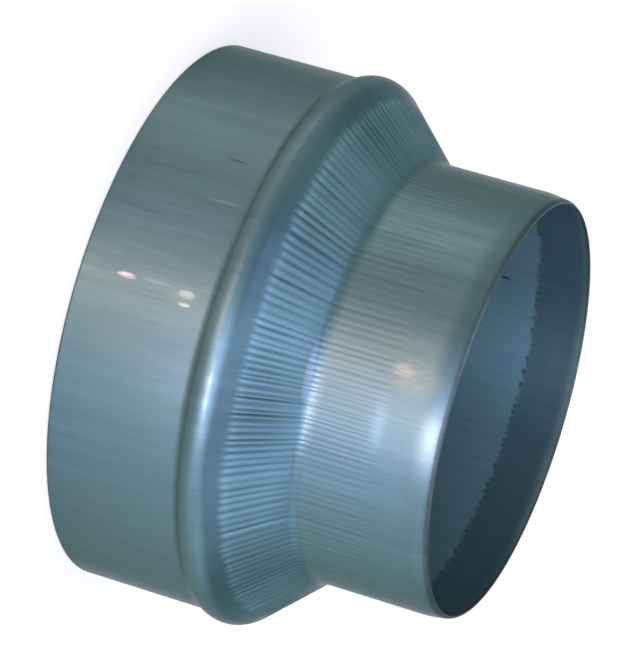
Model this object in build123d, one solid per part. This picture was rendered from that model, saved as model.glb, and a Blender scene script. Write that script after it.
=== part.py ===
from build123d import *

import os
from math import acos, atan2, cos, hypot, pi, sin, sqrt

# Duct reducer pressed from one steel sheet, from a 160 mm duct to a 125 mm one. Sizes are in millimetres.
# Its axis is +Z. It stands on its large rim at z = 0, with the small spigot on top.
SHEET = 0.6
LARGE_DIAMETER = 159.2
LARGE_LENGTH = 39.5
BEAD_HEIGHT = 2.1
BEAD_RADIUS = 6.5
NECK_LENGTH = 28.0
SMALL_DIAMETER = 124.8
SMALL_LENGTH = 39.5

# Ribs pressed into the cone, over its root and onto the spigot. They start PLAIN_BAND down the cone from the bead
# and end RIBBED_LENGTH up the spigot, and their crests lie a small step below the plain sheet at each end.
RIB_COUNT = 190
RIB_DEPTH = 0.28
RIB_STEP = 0.06
PLAIN_BAND = 3.8
RIBBED_LENGTH = 21.0
ROOT_BEND = 1.5

# The hollow side of the bead is turned as this many plain cones, each a chord of its arc.
HOLLOW_CONES = 4

large_radius = LARGE_DIAMETER / 2
small_radius = SMALL_DIAMETER / 2
root_z = LARGE_LENGTH + NECK_LENGTH
ribs_end_z = root_z + RIBBED_LENGTH
total_height = root_z + SMALL_LENGTH

# The bead is one arc. It leaves the collar at a tight corner and runs tangent into the cone, which ends at the
# crests of the ribs on the spigot. Angles in the half section are taken from +Z towards the outside.
root_radius = small_radius - RIB_STEP
bead_centre_r = large_radius + BEAD_HEIGHT - BEAD_RADIUS
bead_centre_z = LARGE_LENGTH + sqrt(BEAD_RADIUS**2 - (large_radius - bead_centre_r) ** 2)
root_offset_r = root_radius - bead_centre_r
root_offset_z = root_z - bead_centre_z
cone_normal = atan2(root_offset_r, root_offset_z) + acos(BEAD_RADIUS / hypot(root_offset_r, root_offset_z))


def section_point(r, z):
    """Point of the half section, at radius r and height z."""
    return Vector(r, 0, z)


def bead_point(angle, inset):
    """Point of the bead's arc at an angle, `inset` below the outer skin."""
    reach = BEAD_RADIUS - inset
    return section_point(bead_centre_r + reach * sin(angle), bead_centre_z + reach * cos(angle))


def down_cone(start, distance):
    """Point of the half section a distance down the cone from a start point."""
    return start + section_point(-cos(cone_normal), sin(cone_normal)) * distance


def circle(radius, z):
    """Circle about the axis at height z."""
    return Wire.make_circle(radius, Plane(origin=(0, 0, z)))


def rib_ring(crest):
    """Corners of the ribs level with a crest point of the half section, crest and trough by turns."""
    trough_share = 1 - RIB_DEPTH / root_radius
    ring = []
    for i in range(2 * RIB_COUNT):
        radius = crest.X * (trough_share if i % 2 else 1)
        angle = pi * i / RIB_COUNT
        ring.append(Vector(radius * cos(angle), radius * sin(angle), crest.Z))
    return ring


def rib_flanks(lower, upper):
    """Flat flanks of all ribs between two rings of corners."""
    flanks = []
    for i in range(2 * RIB_COUNT):
        j = (i + 1) % (2 * RIB_COUNT)
        corners = [lower[i], lower[j], upper[j], upper[i]]
        flanks.append(Face(Wire.make_polygon(corners, close=True)))
    return flanks


def skin(inset, bead_edges, root_crests):
    """Faces of one side of the sheet from rim to rim, `inset` below the outer skin."""
    collar_r = large_radius - inset
    spigot_r = small_radius - inset
    corner = bead_edges[0] @ 0
    tangent = bead_edges[-1] @ 1
    band_end = down_cone(tangent, PLAIN_BAND)
    turned_edges = [
        Edge.make_line(section_point(collar_r, 0), corner),
        *bead_edges,
        Edge.make_line(tangent, band_end),
        Edge.make_line(section_point(spigot_r, ribs_end_z), section_point(spigot_r, total_height)),
    ]
    faces = [Face.revolve(edge, 360, Axis.Z) for edge in turned_edges]

    first_crest = band_end - section_point(RIB_STEP, 0)
    last_crest = section_point(root_radius - inset, ribs_end_z)
    rings = [rib_ring(crest) for crest in (first_crest, *root_crests, last_crest)]
    for lower, upper in zip(rings, rings[1:]):
        faces += rib_flanks(lower, upper)
    first_outline = Wire.make_polygon(rings[0], close=True)
    last_outline = Wire.make_polygon(rings[-1], close=True)
    faces.append(Face(circle(band_end.X, band_end.Z), [first_outline]))
    faces.append(Face(circle(spigot_r, ribs_end_z), [last_outline]))
    return faces


def corner_angle(inset):
    """Angle on the bead's arc where it meets the collar."""
    return pi / 2 + acos((large_radius - inset - bead_centre_r) / (BEAD_RADIUS - inset))


def outer_skin():
    """Outside of the sheet: a round bead, and ribs that bend over the cone's root."""
    start = corner_angle(0)
    middle = (start + cone_normal) / 2
    arc = Edge.make_three_point_arc(bead_point(start, 0), bead_point(middle, 0), bead_point(cone_normal, 0))
    root = section_point(root_radius, root_z)
    root_crests = [down_cone(root, -ROOT_BEND), root + section_point(0, ROOT_BEND)]
    return skin(0, [arc], root_crests)


def inner_skin():
    """Inside of the sheet, one sheet thickness in: the hollow of the bead, and ribs with a plain root."""
    start = corner_angle(SHEET)
    turn = (cone_normal - start) / HOLLOW_CONES
    stations = [bead_point(start + i * turn, SHEET) for i in range(HOLLOW_CONES + 1)]
    chords = [Edge.make_line(a, b) for a, b in zip(stations, stations[1:])]
    root_drop = SHEET * (1 - sin(cone_normal)) / cos(cone_normal)
    root = section_point(root_radius - SHEET, root_z - root_drop)
    return skin(SHEET, chords, [root])


def rim(radius, z):
    """Plain cut edge of the sheet at one end."""
    return Face(circle(radius, z), [circle(radius - SHEET, z)])


rims = [rim(large_radius, 0), rim(small_radius, total_height)]
reducer = Solid(Shell(outer_skin() + inner_skin() + rims))

os.makedirs("parts", exist_ok=True)
export_step(reducer, "parts/reducer.step")
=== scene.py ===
import bpy
import numpy as np
from mathutils import Matrix, Vector


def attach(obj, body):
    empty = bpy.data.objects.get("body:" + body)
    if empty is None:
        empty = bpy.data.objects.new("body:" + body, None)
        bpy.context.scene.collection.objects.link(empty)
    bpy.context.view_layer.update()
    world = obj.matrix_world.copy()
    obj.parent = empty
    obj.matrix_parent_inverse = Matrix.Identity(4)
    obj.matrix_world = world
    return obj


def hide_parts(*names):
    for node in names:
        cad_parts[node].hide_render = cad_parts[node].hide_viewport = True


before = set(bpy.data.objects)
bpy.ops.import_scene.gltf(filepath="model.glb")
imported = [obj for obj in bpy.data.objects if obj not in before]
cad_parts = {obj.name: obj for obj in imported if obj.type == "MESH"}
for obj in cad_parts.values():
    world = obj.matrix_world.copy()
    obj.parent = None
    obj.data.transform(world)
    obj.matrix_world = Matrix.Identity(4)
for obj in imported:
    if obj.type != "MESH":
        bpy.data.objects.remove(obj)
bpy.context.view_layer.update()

# Reducer: one zinc-coated steel sheet, 0.6 mm thick, drawn on a press and necked down at one end.
# From the floor up it has a plain collar, a rounded stop bead, a cone with pressed ribs, and a spigot that
# carries the same ribs half way and ends in a lip turned slightly in. The sizes are in millimetres.
MILLIMETRE = 0.001
SHEET = 0.6
COLLAR_RADIUS = 79.6
COLLAR_TOP = 39.5
CORNER_RADIUS = 3.0
BEAD_CREST = 81.7
BEAD_RADIUS = 6.5
ROOT_Z = 67.5
ROOT_RADIUS = 5.0
EASE_RADIUS = 18.0
EASE_TURN = np.radians(8)
SPIGOT_RADIUS = 62.4
SPIGOT_TOP = 107.0
CURL_RADIUS = 30.0
CURL_TURN = np.radians(9)
TAPER_LENGTH = 1.9
LIP_RADIUS = 2.4
LIP_TURN = np.radians(52)
TINTED_LIP_ROWS = 3
EDGE_ROUND = 0.12

# Angles in the half section are from +Z towards the outside. The bead is one arc that leaves the collar
# over a small hollow corner and runs tangent into the cone. The cone runs over a hollow root, a tight arc
# and then a slow one, into the spigot, which curls near its mouth into a short taper and ends in the lip.
bead_r = BEAD_CREST - BEAD_RADIUS
bead_z = COLLAR_TOP + np.sqrt(BEAD_RADIUS**2 - (COLLAR_RADIUS - bead_r) ** 2)
to_root_r = SPIGOT_RADIUS - bead_r
to_root_z = ROOT_Z - bead_z
cone_normal = np.arctan2(to_root_r, to_root_z) + np.arccos(BEAD_RADIUS / np.hypot(to_root_r, to_root_z))
cone_along = np.array([-np.cos(cone_normal), np.sin(cone_normal)])
corner_r = COLLAR_RADIUS + CORNER_RADIUS
corner_z = bead_z - np.sqrt((BEAD_RADIUS + CORNER_RADIUS) ** 2 - (corner_r - bead_r) ** 2)
corner_end = np.arctan2(bead_r - corner_r, bead_z - corner_z) + np.pi
ease_normal = np.pi / 2 - EASE_TURN
radius_step = EASE_RADIUS - ROOT_RADIUS
root_rise = ROOT_RADIUS + radius_step * np.cos(ease_normal - cone_normal) - EASE_RADIUS * np.sin(cone_normal)
root_top = ROOT_Z + root_rise / np.cos(cone_normal)
root_centre = (SPIGOT_RADIUS + EASE_RADIUS - radius_step * np.sin(ease_normal),
               root_top - radius_step * np.cos(ease_normal))
lip_rise = LIP_RADIUS * (np.sin(LIP_TURN) - np.sin(CURL_TURN))
curl_z = SPIGOT_TOP - lip_rise - TAPER_LENGTH * np.cos(CURL_TURN) - CURL_RADIUS * np.sin(CURL_TURN)


def arc_line(centre, radius, angles):
    """Round stretch: centre plus radius, below 0 if hollow, times (sin, cos) of each normal's angle."""
    normals = np.stack([np.sin(angles), np.cos(angles)], -1)
    return np.array(centre) + radius * normals, normals


def straight_line(start, angle, distances):
    """Straight stretch: its start plus each distance along the direction square to a normal at this angle."""
    along = np.array([-np.cos(angle), np.sin(angle)])
    normals = np.tile([np.sin(angle), np.cos(angle)], (len(distances), 1))
    return np.array(start) + np.array(distances)[:, None] * along, normals


cone_start = arc_line((bead_r, bead_z), BEAD_RADIUS, np.array([cone_normal]))[0][0]
cone_length = (np.array(root_centre) - cone_start) @ cone_along
cone_stops = [1.2, 2.2, 3.0, 3.8, 4.6, 5.6, 7.5, 11, 15, 18, cone_length]
spigot_stops = [root_top + 0.6, 76, 82, 86, 87.6, 88.8, 89.8, 90.6, 91.4, 92.4, 96, curl_z]
ease_angles = np.linspace(ease_normal, np.pi / 2, 4)[1:]
curl_angles = np.pi / 2 - np.linspace(0, CURL_TURN, 5)[1:]
curl = arc_line((SPIGOT_RADIUS - CURL_RADIUS, curl_z), CURL_RADIUS, curl_angles)
taper = straight_line(curl[0][-1], np.pi / 2 - CURL_TURN, [0.5 * TAPER_LENGTH, TAPER_LENGTH])
lip_centre = taper[0][-1] - LIP_RADIUS * taper[1][-1]
line_rows = [
    straight_line((COLLAR_RADIUS, 0), np.pi / 2, [EDGE_ROUND, 0.7, 14, 26, 33, corner_z - 0.5]),
    arc_line((corner_r, corner_z), -CORNER_RADIUS, np.linspace(np.pi / 2, corner_end, 5)),
    arc_line((bead_r, bead_z), BEAD_RADIUS, np.linspace(corner_end, cone_normal, 13)[1:]),
    straight_line(cone_start, cone_normal, cone_stops),
    arc_line(root_centre, -ROOT_RADIUS, np.linspace(cone_normal, ease_normal, 6)[1:]),
    arc_line((SPIGOT_RADIUS + EASE_RADIUS, root_top), -EASE_RADIUS, ease_angles),
    straight_line((SPIGOT_RADIUS, 0), np.pi / 2, spigot_stops),
    curl,
    taper,
    arc_line(lip_centre, LIP_RADIUS, np.pi / 2 - np.linspace(CURL_TURN, LIP_TURN, 6)[1:]),
]
line = np.concatenate([points for points, _ in line_rows])
line_normal = np.concatenate([normals for _, normals in line_rows])

# Rows of the mesh: up the outside, over the cut edge at the mouth, down the inside with fewer rows, picked
# from each stretch, and over the cut edge of the collar. Each is a row of the half section, set in from the
# outside and slid along the sheet.
inner_picks = ([0, 1, 5], [0, 2, 4], [2, 5, 8, 11], [0, 2, 4, 6, 8, 10], [1, 3], [0, 2],
               [0, 2, 4, 5, 6, 7, 8, 9, 11], [1, 3], [1], [1, 3, 4])
first_row = np.cumsum([0] + [len(points) for points, _ in line_rows])
inner_of = np.concatenate([first + np.array(picks) for first, picks in zip(first_row, inner_picks)])[::-1]
last = len(line) - 1
rows = np.r_[0, 0:last + 1, last, last, inner_of, 0]
far_in = SHEET - EDGE_ROUND
outer_rows = np.zeros(last + 1)
inner_rows = np.ones(len(inner_of))
inset = np.r_[EDGE_ROUND, outer_rows, EDGE_ROUND, far_in, SHEET * inner_rows, far_in][:, None]
slide = np.r_[-EDGE_ROUND, outer_rows, EDGE_ROUND, EDGE_ROUND, 0 * inner_rows, -EDGE_ROUND][:, None]
row_r, row_z = line[rows, 0:1], line[rows, 1:2]
normal_r, normal_z = line_normal[rows, 0:1], line_normal[rows, 1:2]
inside = inset == SHEET

# Ribs: pressed grooves along the half section. They crowd together over one stretch and are shallow over
# another, and each has its own place, depth, start and end, as a worn tool leaves them. A rib has five
# columns of the mesh, closer together at the bottom of its groove. Angles go round +Z from +X, in radians.
RIB_COUNT = 190
CROWD_ANGLE = np.radians(282)
CROWD_WIDTH = np.radians(14)
CROWD_SHARE = 0.55
SHALLOW_ANGLE = 4.43
SHALLOW_WIDTH = 0.2
SHALLOW_SHARE = 0.5
RIB_DEPTH = 0.25
RIB_STEP = 0.03
RIBS_START = 3.2
RIBS_END = 91.5
START_RAMP = 2.6
END_RAMP = 4.5
INNER_RAMP = 1.4
dice = np.random.default_rng(5)
rib_angle = 2 * np.pi * np.arange(RIB_COUNT) / RIB_COUNT
all_round = np.linspace(0, 2 * np.pi, 721)
crowd = np.cumsum(1 + CROWD_SHARE * np.exp(-(((all_round - CROWD_ANGLE) / CROWD_WIDTH) ** 2)))
crowd = 2 * np.pi * (crowd - crowd[0]) / (crowd[-1] - crowd[0])
rib_edge = np.interp(rib_angle, crowd, all_round) + dice.normal(0, 0.0035, RIB_COUNT)
rib_width = np.diff(np.append(rib_edge, rib_edge[0] + 2 * np.pi))
rib_share = np.array([0, 0.28, 0.43, 0.57, 0.72])
angle = (rib_edge[:, None] + rib_width[:, None] * rib_share).ravel()
wave = np.tile((0.5 - 0.5 * np.cos(2 * np.pi * rib_share)) ** 2, RIB_COUNT)
rib_depth = 1 + 0.2 * np.sin(3 * rib_angle + 0.4) + 0.12 * np.sin(8 * rib_angle)
rib_depth = rib_depth - SHALLOW_SHARE * np.exp(-(((rib_edge - SHALLOW_ANGLE) / SHALLOW_WIDTH) ** 2))
rib_depth = np.repeat(rib_depth + dice.uniform(-0.35, 0.35, RIB_COUNT), len(rib_share))
rib_start = RIBS_START + 0.4 * np.sin(4 * rib_angle + 2.2) + dice.uniform(-0.5, 0.5, RIB_COUNT)
rib_start = np.repeat(rib_start, len(rib_share))
rib_end = np.repeat(RIBS_END + dice.uniform(-0.5, 0.5, RIB_COUNT), len(rib_share))
rib_tooth = np.repeat(dice.uniform(0.35, 0.95, RIB_COUNT), len(rib_share))


def eased(share):
    """Smooth step from 0 to 1: three times the square less twice the cube of the clipped share."""
    x = np.clip(share, 0, 1)
    return x * x * (3 - 2 * x)


def rib_strength():
    """Share of the full rib at each point: eased in down the cone from its start, out before its end."""
    down_cone = np.where(row_z < bead_z, -10, (line[rows] - cone_start) @ cone_along[:, None])
    ends = eased((rib_end - row_z) / np.where(inside, INNER_RAMP, END_RAMP))
    return eased((down_cone - rib_start) / START_RAMP) * ends


def reducer_surface():
    """Sheet as a grid of section rows and columns round the axis.

    A point is its row's place in the half section, moved in by the inset, by the rib's step and by its
    depth times its wave, slid along the sheet at the cut edges, and turned about +Z by its column's angle.
    """
    share = np.interp(row_z, [50, 56, 62, 65, 70, 80, RIBS_END], [1.0, 0.95, 0.8, 0.4, 0.24, 0.24, 0.2])
    worn = 1 + 0.35 * np.sin(4 * angle + 0.22 * row_z) * np.sin(7 * angle - 0.13 * row_z)
    move = -inset - ribbed * (RIB_STEP + RIB_DEPTH * share * rib_depth * worn * wave)
    radius = row_r + move * normal_r - slide * normal_z
    height = row_z + move * normal_z + slide * normal_r
    return np.stack([radius * np.cos(angle), radius * np.sin(angle), height], -1)


# Painted light and shade on the sheet, by the angle of its middle: a lit stretch of the root left without
# painted shade, a softer painted shade on one side of the lip, a painted highlight at the end of the ribs on
# the outside, and a painted reflection down one side of the inside.
UNSHADED_ROOT_ANGLE = 4.9
SOFT_LIP_ANGLE = 4.4
END_HIGHLIGHT_ANGLE = 4.94
REFLECTION_STRIPE_ANGLE = 1.85


def sheet_shade():
    """Factor on the sheet's tone at each point, most of it painted light and shade.

    Outside, painted shade darkens the plain ring above the bead, the bottom of each rib, the root outside its
    lit stretch, and the lip, which is shaded more softly on one side. Waves of painted light and shade run
    round the cone. The ribs are lighter, most of all on the cone, partly as the press's polish and partly as
    a painted highlight on their crests where they start, and a painted highlight lies where they end in one
    place.
    Inside, the plain band is darker than the ribs, a painted highlight lightens the band along the rim, each
    rib ends in a dark tooth mark, and a painted reflection lightens a stripe down one side.
    """
    # Painted shade: the plain ring above the bead is darker.
    ring = 0.24 * (1 - ribbed) * eased((row_z - 46.8) / 2) * (1 - eased((row_z - 52) / 3))
    # Painted light and shade in slow waves round the cone.
    waves = 0.13 * np.sin(9 * angle) * np.interp(row_z, [46, 48, 63, 67], [0, 1, 1, 0])
    # Painted shade along the hollow root, left out over its lit stretch.
    unshaded_root = np.exp(-(((angle - UNSHADED_ROOT_ANGLE) / 0.6) ** 2))
    root = 0.2 * np.exp(-(((row_z - 67.6) / 1.6) ** 2)) * (1 - unshaded_root)
    # Painted shade on the lip, earlier and softer on one side, and on the cut edge at the mouth.
    soft_side = np.exp(-(((angle - SOFT_LIP_ANGLE) / 0.35) ** 2))
    lip = 0.15 * soft_side * eased((row_z - 99) / 4) + (0.5 - 0.35 * soft_side) * eased((row_z - 105.2) / 0.8)
    lip = np.where((inset > 0) & (row_z > ROOT_Z), 0.5 + 0.15 * soft_side, lip)
    # Painted shade in the bottom of each rib.
    bottom = np.interp(row_z, [58, 64, 75], [0.4, 0.14, 0.16]) * ribbed * wave * rib_depth
    # Ribs lighter: partly the press's polish, partly a painted highlight on the crests where the ribs start.
    polish_and_highlight = np.interp(row_z, [60, 72], [0.2, 0.05]) * ribbed
    polish_and_highlight = polish_and_highlight + 0.4 * ribbed * (1 - wave) * np.exp(-(((row_z - 52.6) / 1.3) ** 2))
    # Painted highlight where the ribs end on one side.
    end_highlight = 0.45 * np.exp(-(((row_z - 88.5) / 2) ** 2) - ((angle - END_HIGHLIGHT_ANGLE) / 0.1) ** 2)
    # Tone left after the painted shade, then lightened by polish and painted highlights.
    unshaded_share = (1 - ring) * (1 - waves) * (1 - root) * (1 - lip) * (1 - bottom)
    outer_shade = unshaded_share * (1 + polish_and_highlight + end_highlight)
    tooth = 4 * ribbed * (1 - ribbed) * wave * rib_tooth
    # Painted reflection: a lighter stripe down one side of the inside.
    reflection_stripe = 0.36 * np.exp(-(((angle - REFLECTION_STRIPE_ANGLE) / 0.24) ** 2))
    # Inside, the plain band is darker than the ribs, and a painted highlight lightens the band along the rim.
    inner_shade = (0.67 + 0.47 * ribbed + 0.3 * eased((row_z - 103.5) / 1.5)) * (1 + reflection_stripe)
    return np.where(inside, inner_shade * (1 - tooth), outer_shade)


ribbed = rib_strength()
grid = reducer_surface()
index = np.arange(grid.shape[0] * grid.shape[1]).reshape(grid.shape[:2])
beside = np.roll(index, -1, 1)
quads = np.stack([index, beside, np.roll(beside, -1, 0), np.roll(index, -1, 0)], -1).reshape(-1, 4)

# Material of each row of faces: 0 the outside, 1 the inside, 2 the cut edges and the end of the lip, which
# takes the cut edge's warmer tone as a painted reflection.
plain_rows = np.zeros(last - TINTED_LIP_ROWS)
tinted_lip_rows = np.full(TINTED_LIP_ROWS + 3, 2)
side_of_row = np.r_[2, plain_rows, tinted_lip_rows, np.ones(len(inner_of) - 1), 2, 2].astype(np.int32)

mesh = bpy.data.meshes.new("reducer_sheet")
mesh.vertices.add(index.size)
mesh.vertices.foreach_set("co", (grid * MILLIMETRE).astype(np.float32).ravel())
mesh.loops.add(quads.size)
mesh.loops.foreach_set("vertex_index", quads.astype(np.int32).ravel())
mesh.polygons.add(len(quads))
mesh.polygons.foreach_set("loop_start", np.arange(0, quads.size, 4, dtype=np.int32))
mesh.polygons.foreach_set("material_index", np.repeat(side_of_row, len(angle)))
mesh.polygons.foreach_set("use_smooth", np.ones(len(quads), bool))
mesh.update(calc_edges=True)
for name, values in (("ribbed", ribbed), ("shade", sheet_shade())):
    layer = mesh.attributes.new(name, "FLOAT", "POINT")
    layer.data.foreach_set("value", values.astype(np.float32).ravel())
reducer = bpy.data.objects.new("reducer_sheet", mesh)
bpy.context.scene.collection.objects.link(reducer)


def place(tree, kind, inputs=None, **settings):
    """New node in a tree, with its settings and with its inputs set to values or linked from sockets."""
    made = tree.nodes.new(kind)
    for name, value in settings.items():
        setattr(made, name, value)
    for key, value in (inputs or {}).items():
        if isinstance(value, bpy.types.NodeSocket):
            tree.links.new(value, made.inputs[key])
        else:
            made.inputs[key].default_value = value
    return made


# Zinc coat: fine and broad streaks along the axis, slow patches of tone, and a faint waviness in the bump.
# The sheet's shade, most of it painted light and shade, darkens or lightens its colour.
coat = bpy.data.node_groups.new("zinc_coat", "ShaderNodeTree")
for name in ("Dark", "Light", "Patch"):
    coat.interface.new_socket(name, in_out="INPUT", socket_type="NodeSocketColor")
coat.interface.new_socket("Colour", in_out="OUTPUT", socket_type="NodeSocketColor")
for name in ("Roughness", "Height"):
    coat.interface.new_socket(name, in_out="OUTPUT", socket_type="NodeSocketFloat")
given = place(coat, "NodeGroupInput")
where = place(coat, "ShaderNodeTexCoord").outputs["Object"]
split = place(coat, "ShaderNodeSeparateXYZ", {0: where}).outputs
flat = place(coat, "ShaderNodeCombineXYZ", {0: split[0], 1: split[1]})
facing = place(coat, "ShaderNodeVectorMath", {0: flat.outputs[0]}, operation="NORMALIZE")
facing = place(coat, "ShaderNodeSeparateXYZ", {0: facing.outputs[0]}).outputs
round_axis = place(coat, "ShaderNodeCombineXYZ", {0: facing[0], 1: facing[1], 2: split[2]}).outputs[0]


def streaks(round_count, per_metre, detail):
    """Noise stretched along the axis: the direction from the axis times a count, the height times a rate."""
    scale = (round_count, round_count, per_metre)
    scaled = place(coat, "ShaderNodeVectorMath", {0: round_axis, 1: scale}, operation="MULTIPLY")
    inputs = {"Vector": scaled.outputs[0], "Scale": 1.0, "Detail": detail}
    return place(coat, "ShaderNodeTexNoise", inputs).outputs[0]


fine = streaks(150.0, 60.0, 3.0)
broad = streaks(20.0, 14.0, 2.0)
patches = place(coat, "ShaderNodeTexNoise", {"Vector": where, "Scale": 24.0, "Detail": 3.0}).outputs[0]
wavy = place(coat, "ShaderNodeTexNoise", {"Vector": where, "Scale": 34.0, "Detail": 1.0}).outputs[0]
streak = place(coat, "ShaderNodeMix", {0: 0.45, 2: fine, 3: broad}, data_type="FLOAT").outputs[0]
spread = place(coat, "ShaderNodeMapRange", {0: streak, 1: 0.28, 2: 0.72}).outputs[0]
tone = {0: spread, 6: given.outputs["Dark"], 7: given.outputs["Light"]}
tone = place(coat, "ShaderNodeMix", tone, data_type="RGBA").outputs[2]
in_patch = place(coat, "ShaderNodeMapRange", {0: patches, 1: 0.45, 2: 0.7, 3: 0.0, 4: 0.6}).outputs[0]
tone = {0: in_patch, 6: tone, 7: given.outputs["Patch"]}
tone = place(coat, "ShaderNodeMix", tone, data_type="RGBA").outputs[2]
shade = place(coat, "ShaderNodeAttribute", attribute_name="shade").outputs["Color"]
tone = {0: 1.0, 6: tone, 7: shade}
tone = place(coat, "ShaderNodeMix", tone, data_type="RGBA", blend_type="MULTIPLY").outputs[2]
rough = place(coat, "ShaderNodeMapRange", {0: streak, 1: 0.3, 2: 0.7, 3: 0.34, 4: 0.26}).outputs[0]
rough = place(coat, "ShaderNodeMath", {0: patches, 1: 0.1, 2: rough}, operation="MULTIPLY_ADD").outputs[0]
height = place(coat, "ShaderNodeMath", {0: broad, 1: 0.08, 2: wavy}, operation="MULTIPLY_ADD").outputs[0]
place(coat, "NodeGroupOutput", {"Colour": tone, "Roughness": rough, "Height": height})


def zinc_material(name, dark, light, patch):
    """Material with the zinc coat in three tones, its bump and its shader."""
    material = bpy.data.materials.new(name)
    material.use_nodes = True
    tree = material.node_tree
    tree.nodes.clear()
    zinc = place(tree, "ShaderNodeGroup", node_tree=coat)
    for key, value in (("Dark", dark), ("Light", light), ("Patch", patch)):
        zinc.inputs[key].default_value = (*value, 1)
    bump = {"Strength": 1.0, "Distance": 0.0002, "Height": zinc.outputs["Height"]}
    bump = place(tree, "ShaderNodeBump", bump)
    shader = place(tree, "ShaderNodeBsdfPrincipled", {
        "Base Color": zinc.outputs["Colour"], "Metallic": 1.0, "Roughness": zinc.outputs["Roughness"],
        "Normal": bump.outputs[0], "Specular Tint": (0.5, 0.55, 0.55, 1)})
    place(tree, "ShaderNodeOutputMaterial", {0: shader.outputs[0]})
    mesh.materials.append(material)
    return tree, shader


def add_marks(tree, shader, marks, tone):
    """Mix the colour towards a tone in soft ellipses, each with an angle, a height and their half sizes.

    The angle goes round +Z from -Y towards +X, in degrees, and the height is in millimetres. The mask is a
    smooth step of one less the squared distance from the middle in half sizes, broken into streaks by a
    noise stretched along the axis.
    """
    at = place(tree, "ShaderNodeTexCoord").outputs["Object"]
    at = place(tree, "ShaderNodeSeparateXYZ", {0: at}).outputs
    front = place(tree, "ShaderNodeMath", {0: at[1], 1: -1.0}, operation="MULTIPLY").outputs[0]
    turned = place(tree, "ShaderNodeMath", {0: at[0], 1: front}, operation="ARCTAN2").outputs[0]
    spot = place(tree, "ShaderNodeCombineXYZ", {0: turned, 1: at[2]}).outputs[0]
    grain = place(tree, "ShaderNodeVectorMath", {0: spot, 1: (120, 260, 1)}, operation="MULTIPLY").outputs[0]
    grain = place(tree, "ShaderNodeTexNoise", {"Vector": grain, "Scale": 1.0, "Detail": 1.0}).outputs[0]
    grain = place(tree, "ShaderNodeMapRange", {0: grain, 1: 0.2, 2: 0.6}).outputs[0]
    for mark_angle, mark_height, half_angle, half_height in marks:
        middle = (np.radians(mark_angle), mark_height * MILLIMETRE, 0)
        halves = (np.radians(half_angle), half_height * MILLIMETRE, 1)
        away = place(tree, "ShaderNodeVectorMath", {0: spot, 1: middle}, operation="SUBTRACT").outputs[0]
        away = place(tree, "ShaderNodeVectorMath", {0: away, 1: halves}, operation="DIVIDE").outputs[0]
        far = place(tree, "ShaderNodeVectorMath", {0: away, 1: away}, operation="DOT_PRODUCT")
        mask = {0: far.outputs["Value"], 1: 1.0, 2: 0.0, 4: grain}
        mask = place(tree, "ShaderNodeMapRange", mask, interpolation_type="SMOOTHSTEP").outputs[0]
        before = shader.inputs["Base Color"].links[0].from_socket
        mixed = place(tree, "ShaderNodeMix", {0: mask, 6: before, 7: (*tone, 1)}, data_type="RGBA")
        tree.links.new(mixed.outputs[2], shader.inputs["Base Color"])


# Outside: soft painted highlights round the glints first, then painted glints on collar and spigot, a light
# scratch and a painted streak that joins two glints, a painted highlight along the root, and a dark scratch.
outer_tones = (0.071, 0.116, 0.105), (0.099, 0.156, 0.145), (0.083, 0.131, 0.113)
tree, shader = zinc_material("zinc_outside", *outer_tones)
add_marks(tree, shader, [(-3.6, 31, 2.4, 6), (-1.2, 95.5, 5.5, 9.5)], (0.115, 0.155, 0.13))
add_marks(tree, shader, [(-4.2, 32, 1.1, 2.8), (-2.1, 32.2, 0.6, 2.2)], (0.25, 0.3, 0.225))
add_marks(tree, shader, [(-4.6, 13.8, 0.7, 3.6)], (0.36, 0.36, 0.3))
add_marks(tree, shader, [(-2.4, 91.8, 2.2, 4)], (0.17, 0.195, 0.155))
# A light scratch, and a painted reflection streak joining two glints on the collar.
add_marks(tree, shader, [(-24.3, 33, 0.35, 7), (-4.9, 23, 0.4, 7)], (0.14, 0.19, 0.185))
# Painted highlight along the root.
add_marks(tree, shader, [(4, 66.3, 9, 1.1)], (0.19, 0.215, 0.225))
add_marks(tree, shader, [(-34.2, 30.5, 0.4, 3.2)], (0.045, 0.072, 0.066))

# Inside: one dark mark, and a less metallic coat than outside, least of all on the ribs.
tree, shader = zinc_material("zinc_inside", (0.08, 0.14, 0.13), (0.113, 0.19, 0.178), (0.09, 0.155, 0.136))
add_marks(tree, shader, [(-143, 80.2, 0.45, 3.6)], (0.015, 0.025, 0.03))
pressed = place(tree, "ShaderNodeAttribute", attribute_name="ribbed").outputs["Fac"]
metal = place(tree, "ShaderNodeMapRange", {0: pressed, 3: 0.6, 4: 0.5}).outputs[0]
tree.links.new(metal, shader.inputs["Metallic"])

zinc_material("cut_edge", (0.085, 0.105, 0.085), (0.15, 0.175, 0.135), (0.115, 0.133, 0.1))
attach(reducer, "root")
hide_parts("reducer")

# Floor: plain pale ground under the large rim. It shows white and still takes the shadow of the reducer.
FLOOR_HALF = 4.0
FLOOR_DROP = 0.0003
floor_mesh = bpy.data.meshes.new("floor")
floor_corners = np.array([[-1, -1, 0], [1, -1, 0], [1, 1, 0], [-1, 1, 0]], float) * FLOOR_HALF
floor_mesh.from_pydata(floor_corners - (0, 0, FLOOR_DROP), [], [[0, 1, 2, 3]])
floor = bpy.data.objects.new("floor", floor_mesh)
bpy.context.scene.collection.objects.link(floor)
floor_paint = bpy.data.materials.new("floor_paint")
floor_paint.use_nodes = True
tree = floor_paint.node_tree
tree.nodes.clear()
path = place(tree, "ShaderNodeLightPath").outputs
seen = {0: path["Is Camera Ray"], 1: path["Is Glossy Ray"]}
seen = place(tree, "ShaderNodeMath", seen, operation="MAXIMUM").outputs[0]
seen = {0: seen, 1: path["Is Transmission Ray"]}
seen = place(tree, "ShaderNodeMath", seen, operation="MAXIMUM").outputs[0]
lift = place(tree, "ShaderNodeMath", {0: seen, 1: 0.55}, operation="MULTIPLY").outputs[0]
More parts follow.
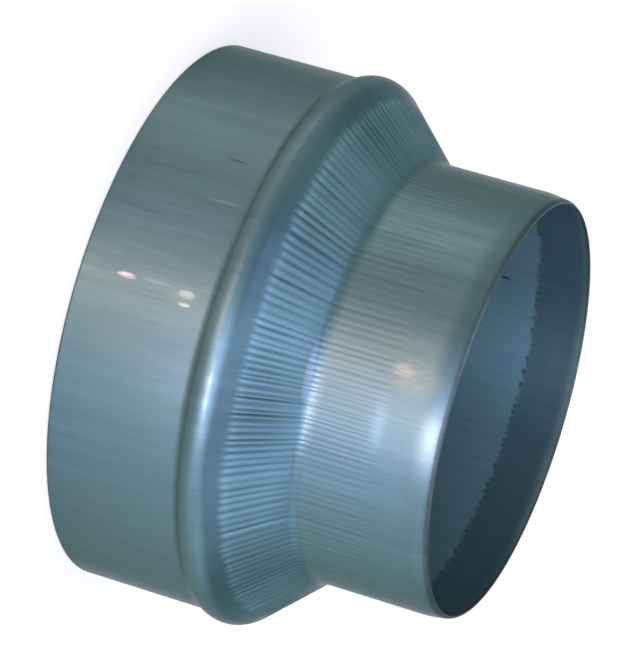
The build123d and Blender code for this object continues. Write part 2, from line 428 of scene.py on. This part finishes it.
paint = place(tree, "ShaderNodeBsdfDiffuse", {"Color": (0.42, 0.36, 0.28, 1)})
glow = place(tree, "ShaderNodeEmission", {"Color": (1, 1, 1, 1), "Strength": lift})
both = place(tree, "ShaderNodeAddShader", {0: paint.outputs[0], 1: glow.outputs[0]})
place(tree, "ShaderNodeOutputMaterial", {0: both.outputs[0]})
floor_mesh.materials.append(floor_paint)

# Reflector: a thin sheet of soft light on the floor in front, which only the metal sees, and at a low angle.
# Each of its glows lies along the line that the walls mirror at one angle, near the foot for the collar and
# further out for the spigot.
CARD_REACH = 0.42
CARD_DROP = 0.00015
FOOT_GAP = 0.0002
NEAR_BLEND = 0.1

# Each glow: its angle and width in degrees, the distance where its near light ends, its near and far light.
glows = [
    (-42, 9, 0.15, (0.75, 0.65, 0.85), (1.6, 1.4, 1.7)),
    (-15, 14, 0.07, (0.4, 0.35, 0.6), (0.1, 0.1, 0.4)),
    (-2, 9, 0.15, (2.6, 1.65, 1.6), (6.2, 3.6, 3.2)),
    (0, 7, 0.24, (0.0, 0.0, 0.0), (1.6, 1.0, 0.8)),
    (11, 10, 0.06, (0.45, 0.55, 0.8), (2.1, 1.9, 3.5)),
    (28, 17, 0.13, (0.38, 0.5, 1.05), (1.2, 1.6, 2.9)),
    (58, 14, 0.13, (0.1, 0.22, 0.3), (0.1, 0.22, 0.35)),
]
mirrored_at = np.linspace(-75, 75, 151)[:, None]
out = np.linspace(0, CARD_REACH, 43)[None]
foot = COLLAR_RADIUS * MILLIMETRE + FOOT_GAP
card_x = foot * np.sin(np.radians(mirrored_at)) + out * np.sin(np.radians(2 * mirrored_at))
card_y = foot * np.cos(np.radians(mirrored_at)) + out * np.cos(np.radians(2 * mirrored_at))
card_points = np.stack([card_x, -card_y, np.full(card_x.shape, -CARD_DROP)], -1)
card_light = np.zeros(card_points.shape)
for at, width, near_end, near, far in glows:
    share = np.exp(-(((mirrored_at - at) / width) ** 2))[..., None]
    further = eased((out - near_end) / NEAR_BLEND)[..., None]
    card_light += share * (np.array(near) * (1 - further) + np.array(far) * further)
card_paint = bpy.data.materials.new("reflector_glow")
card_paint.use_nodes = True
tree = card_paint.node_tree
tree.nodes.clear()
glow = place(tree, "ShaderNodeAttribute", attribute_name="glow").outputs["Color"]
low_angle = place(tree, "ShaderNodeLayerWeight", {"Blend": 0.5}).outputs["Facing"]
low_angle = place(tree, "ShaderNodeMapRange", {0: low_angle, 1: 0.3, 2: 0.62, 3: 0.1, 4: 1.0}).outputs[0]
glow = place(tree, "ShaderNodeEmission", {"Color": glow, "Strength": low_angle})
clear = place(tree, "ShaderNodeBsdfTransparent")
both = place(tree, "ShaderNodeAddShader", {0: glow.outputs[0], 1: clear.outputs[0]})
place(tree, "ShaderNodeOutputMaterial", {0: both.outputs[0]})


def reflector(name, points, light):
    """Sheet of light from a grid of points and the light at each, seen by mirroring surfaces alone."""
    sheet = bpy.data.meshes.new(name)
    number = np.arange(light[..., 0].size).reshape(light.shape[:2])
    faces = [number[:-1, :-1], number[1:, :-1], number[1:, 1:], number[:-1, 1:]]
    sheet.from_pydata(points.reshape(-1, 3), [], np.stack(faces, -1).reshape(-1, 4))
    colours = sheet.attributes.new("glow", "FLOAT_COLOR", "POINT")
    colours.data.foreach_set("color", np.concatenate([light, np.ones_like(light[..., :1])], -1).ravel())
    sheet.materials.append(card_paint)
    card = bpy.data.objects.new(name, sheet)
    card.visible_camera = False
    card.visible_diffuse = False
    card.visible_shadow = False
    card.visible_transmission = False
    bpy.context.scene.collection.objects.link(card)


reflector("reflector", card_points, card_light)

# Back reflector: a second such sheet behind the reducer, with two soft glows that spread out from its foot.
# Each has its angle and width in degrees, its near light and its far light, which fades out at the end.
BACK_REACH = 0.56
BACK_DROP = 0.0002
BACK_NEAR_END = 0.2
BACK_BLEND = 0.12
BACK_FADE_START = 0.46
BACK_FADE = 0.1
back_glows = [(169, 10, (0.7, 0.9, 1.8), (1.2, 1.5, 3.0)), (182, 15, (4.4, 3.1, 3.3), (6.4, 4.2, 4.2))]
behind_at = np.linspace(125, 235, 56)[:, None]
from_axis = np.linspace(foot, BACK_REACH, 49)[None]
back_x = from_axis * np.sin(np.radians(behind_at))
back_y = from_axis * np.cos(np.radians(behind_at))
back_points = np.stack([back_x, -back_y, np.full(back_x.shape, -BACK_DROP)], -1)
back_light = np.zeros(back_points.shape)
for at, width, near, far in back_glows:
    share = np.exp(-(((behind_at - at) / width) ** 2))[..., None]
    further = eased((from_axis - BACK_NEAR_END) / BACK_BLEND)[..., None]
    back_light += share * (np.array(near) * (1 - further) + np.array(far) * further)
back_light *= 1 - eased((from_axis - BACK_FADE_START) / BACK_FADE)[..., None]
reflector("back_reflector", back_points, back_light)

# Light: a pale blue room, a soft blue lamp overhead, windows in front, at one side and behind, and a small
# bright pane in front. The camera sees none of the lamps.
world = bpy.data.worlds.new("room")
bpy.context.scene.world = world
world.use_nodes = True
world.node_tree.nodes["Background"].inputs["Color"].default_value = (0.8, 1.0, 1.25, 1)
world.node_tree.nodes["Background"].inputs["Strength"].default_value = 1.0


def lamp(name, stand, shine_at, size, radiance, turn=0.0):
    """Area lamp at a point, turned to shine at another, with the power that gives its face this radiance."""
    light = bpy.data.lights.new(name, "AREA")
    light.shape = "RECTANGLE"
    light.size, light.size_y = size
    brightest = max(radiance)
    light.energy = brightest * np.pi * size[0] * size[1]
    light.color = [part / brightest for part in radiance]
    made = bpy.data.objects.new(name, light)
    back = (Vector(stand) - Vector(shine_at)).normalized()
    side = Vector((np.cos(turn), np.sin(turn), 0))
    axes = Matrix((side, back.cross(side), back)).transposed().to_4x4()
    made.matrix_world = Matrix.Translation(stand) @ axes
    made.visible_camera = False
    bpy.context.scene.collection.objects.link(made)


lamp("overhead", (0.24, -0.2, 1.0), (0.24, -0.2, 0), (1.6, 0.7), (1.05, 1.2, 2.5))
for name, azimuth, reach, height, size, radiance in (
    ("window", 23, 1.4, 0.55, (1.1, 1.1), (2.5, 2.7, 5.2)),
    ("high_window", 23, 1.2, 1.5, (0.95, 1.2), (1.7, 1.8, 3.4)),
    ("wide_window", 25, 1.5, 0.5, (2.6, 1.0), (0.8, 0.9, 1.5)),
    ("side_window", 90, 1.4, 0.5, (1.3, 1.0), (0.75, 0.95, 1.5)),
    ("back_window", 195, 1.4, 0.9, (1.0, 0.9), (2.0, 2.0, 2.9)),
    ("pane", 25, 1.3, 0.1, (0.3, 0.22), (34.0, 21.0, 20.0)),
):
    turn = np.radians(azimuth)
    lamp(name, (reach * np.sin(turn), -reach * np.cos(turn), height), (0, 0, height), size, radiance, turn)

# Camera: looks down on the reducer from the front, rolled so that the axis runs across the picture. Its
# distance and the point it looks at are in units of about the collar's radius.
CAMERA_UNIT = 0.07931
CAMERA_ROLL = np.radians(16.27)
CAMERA_TILT = np.radians(17.9935)
CAMERA_DISTANCE = 14.7178
LOOK_HEIGHT = 0.7
LOOK_LEFT = 0.09304
LOOK_UP = 0.09981
PIXELS_PER_UNIT = 276.41
PICTURE_HEIGHT = 669
SENSOR_WIDTH = 36
roll_s, roll_c = np.sin(CAMERA_ROLL), np.cos(CAMERA_ROLL)
tilt_s, tilt_c = np.sin(CAMERA_TILT), np.cos(CAMERA_TILT)
right = Vector((-roll_s, tilt_s * roll_c, tilt_c * roll_c))
up = Vector((-roll_c, -tilt_s * roll_s, -tilt_c * roll_s))
back = Vector((0, -tilt_c, tilt_s))
look_at = Vector((0, 0, LOOK_HEIGHT * CAMERA_UNIT)) - right * LOOK_LEFT * CAMERA_UNIT
look_at = look_at + up * LOOK_UP * CAMERA_UNIT
view = bpy.data.cameras.new("camera")
view.sensor_fit = "AUTO"
view.sensor_width = SENSOR_WIDTH
view.lens = PIXELS_PER_UNIT * CAMERA_DISTANCE * SENSOR_WIDTH / PICTURE_HEIGHT
view.clip_start = 0.01
view.clip_end = 50
camera = bpy.data.objects.new("camera", view)
axes = Matrix((right, up, back)).transposed().to_4x4()
camera.matrix_world = Matrix.Translation(look_at + back * CAMERA_DISTANCE * CAMERA_UNIT) @ axes
bpy.context.scene.collection.objects.link(camera)
bpy.context.scene.camera = camera
bpy.context.scene.view_settings.view_transform = "Standard"
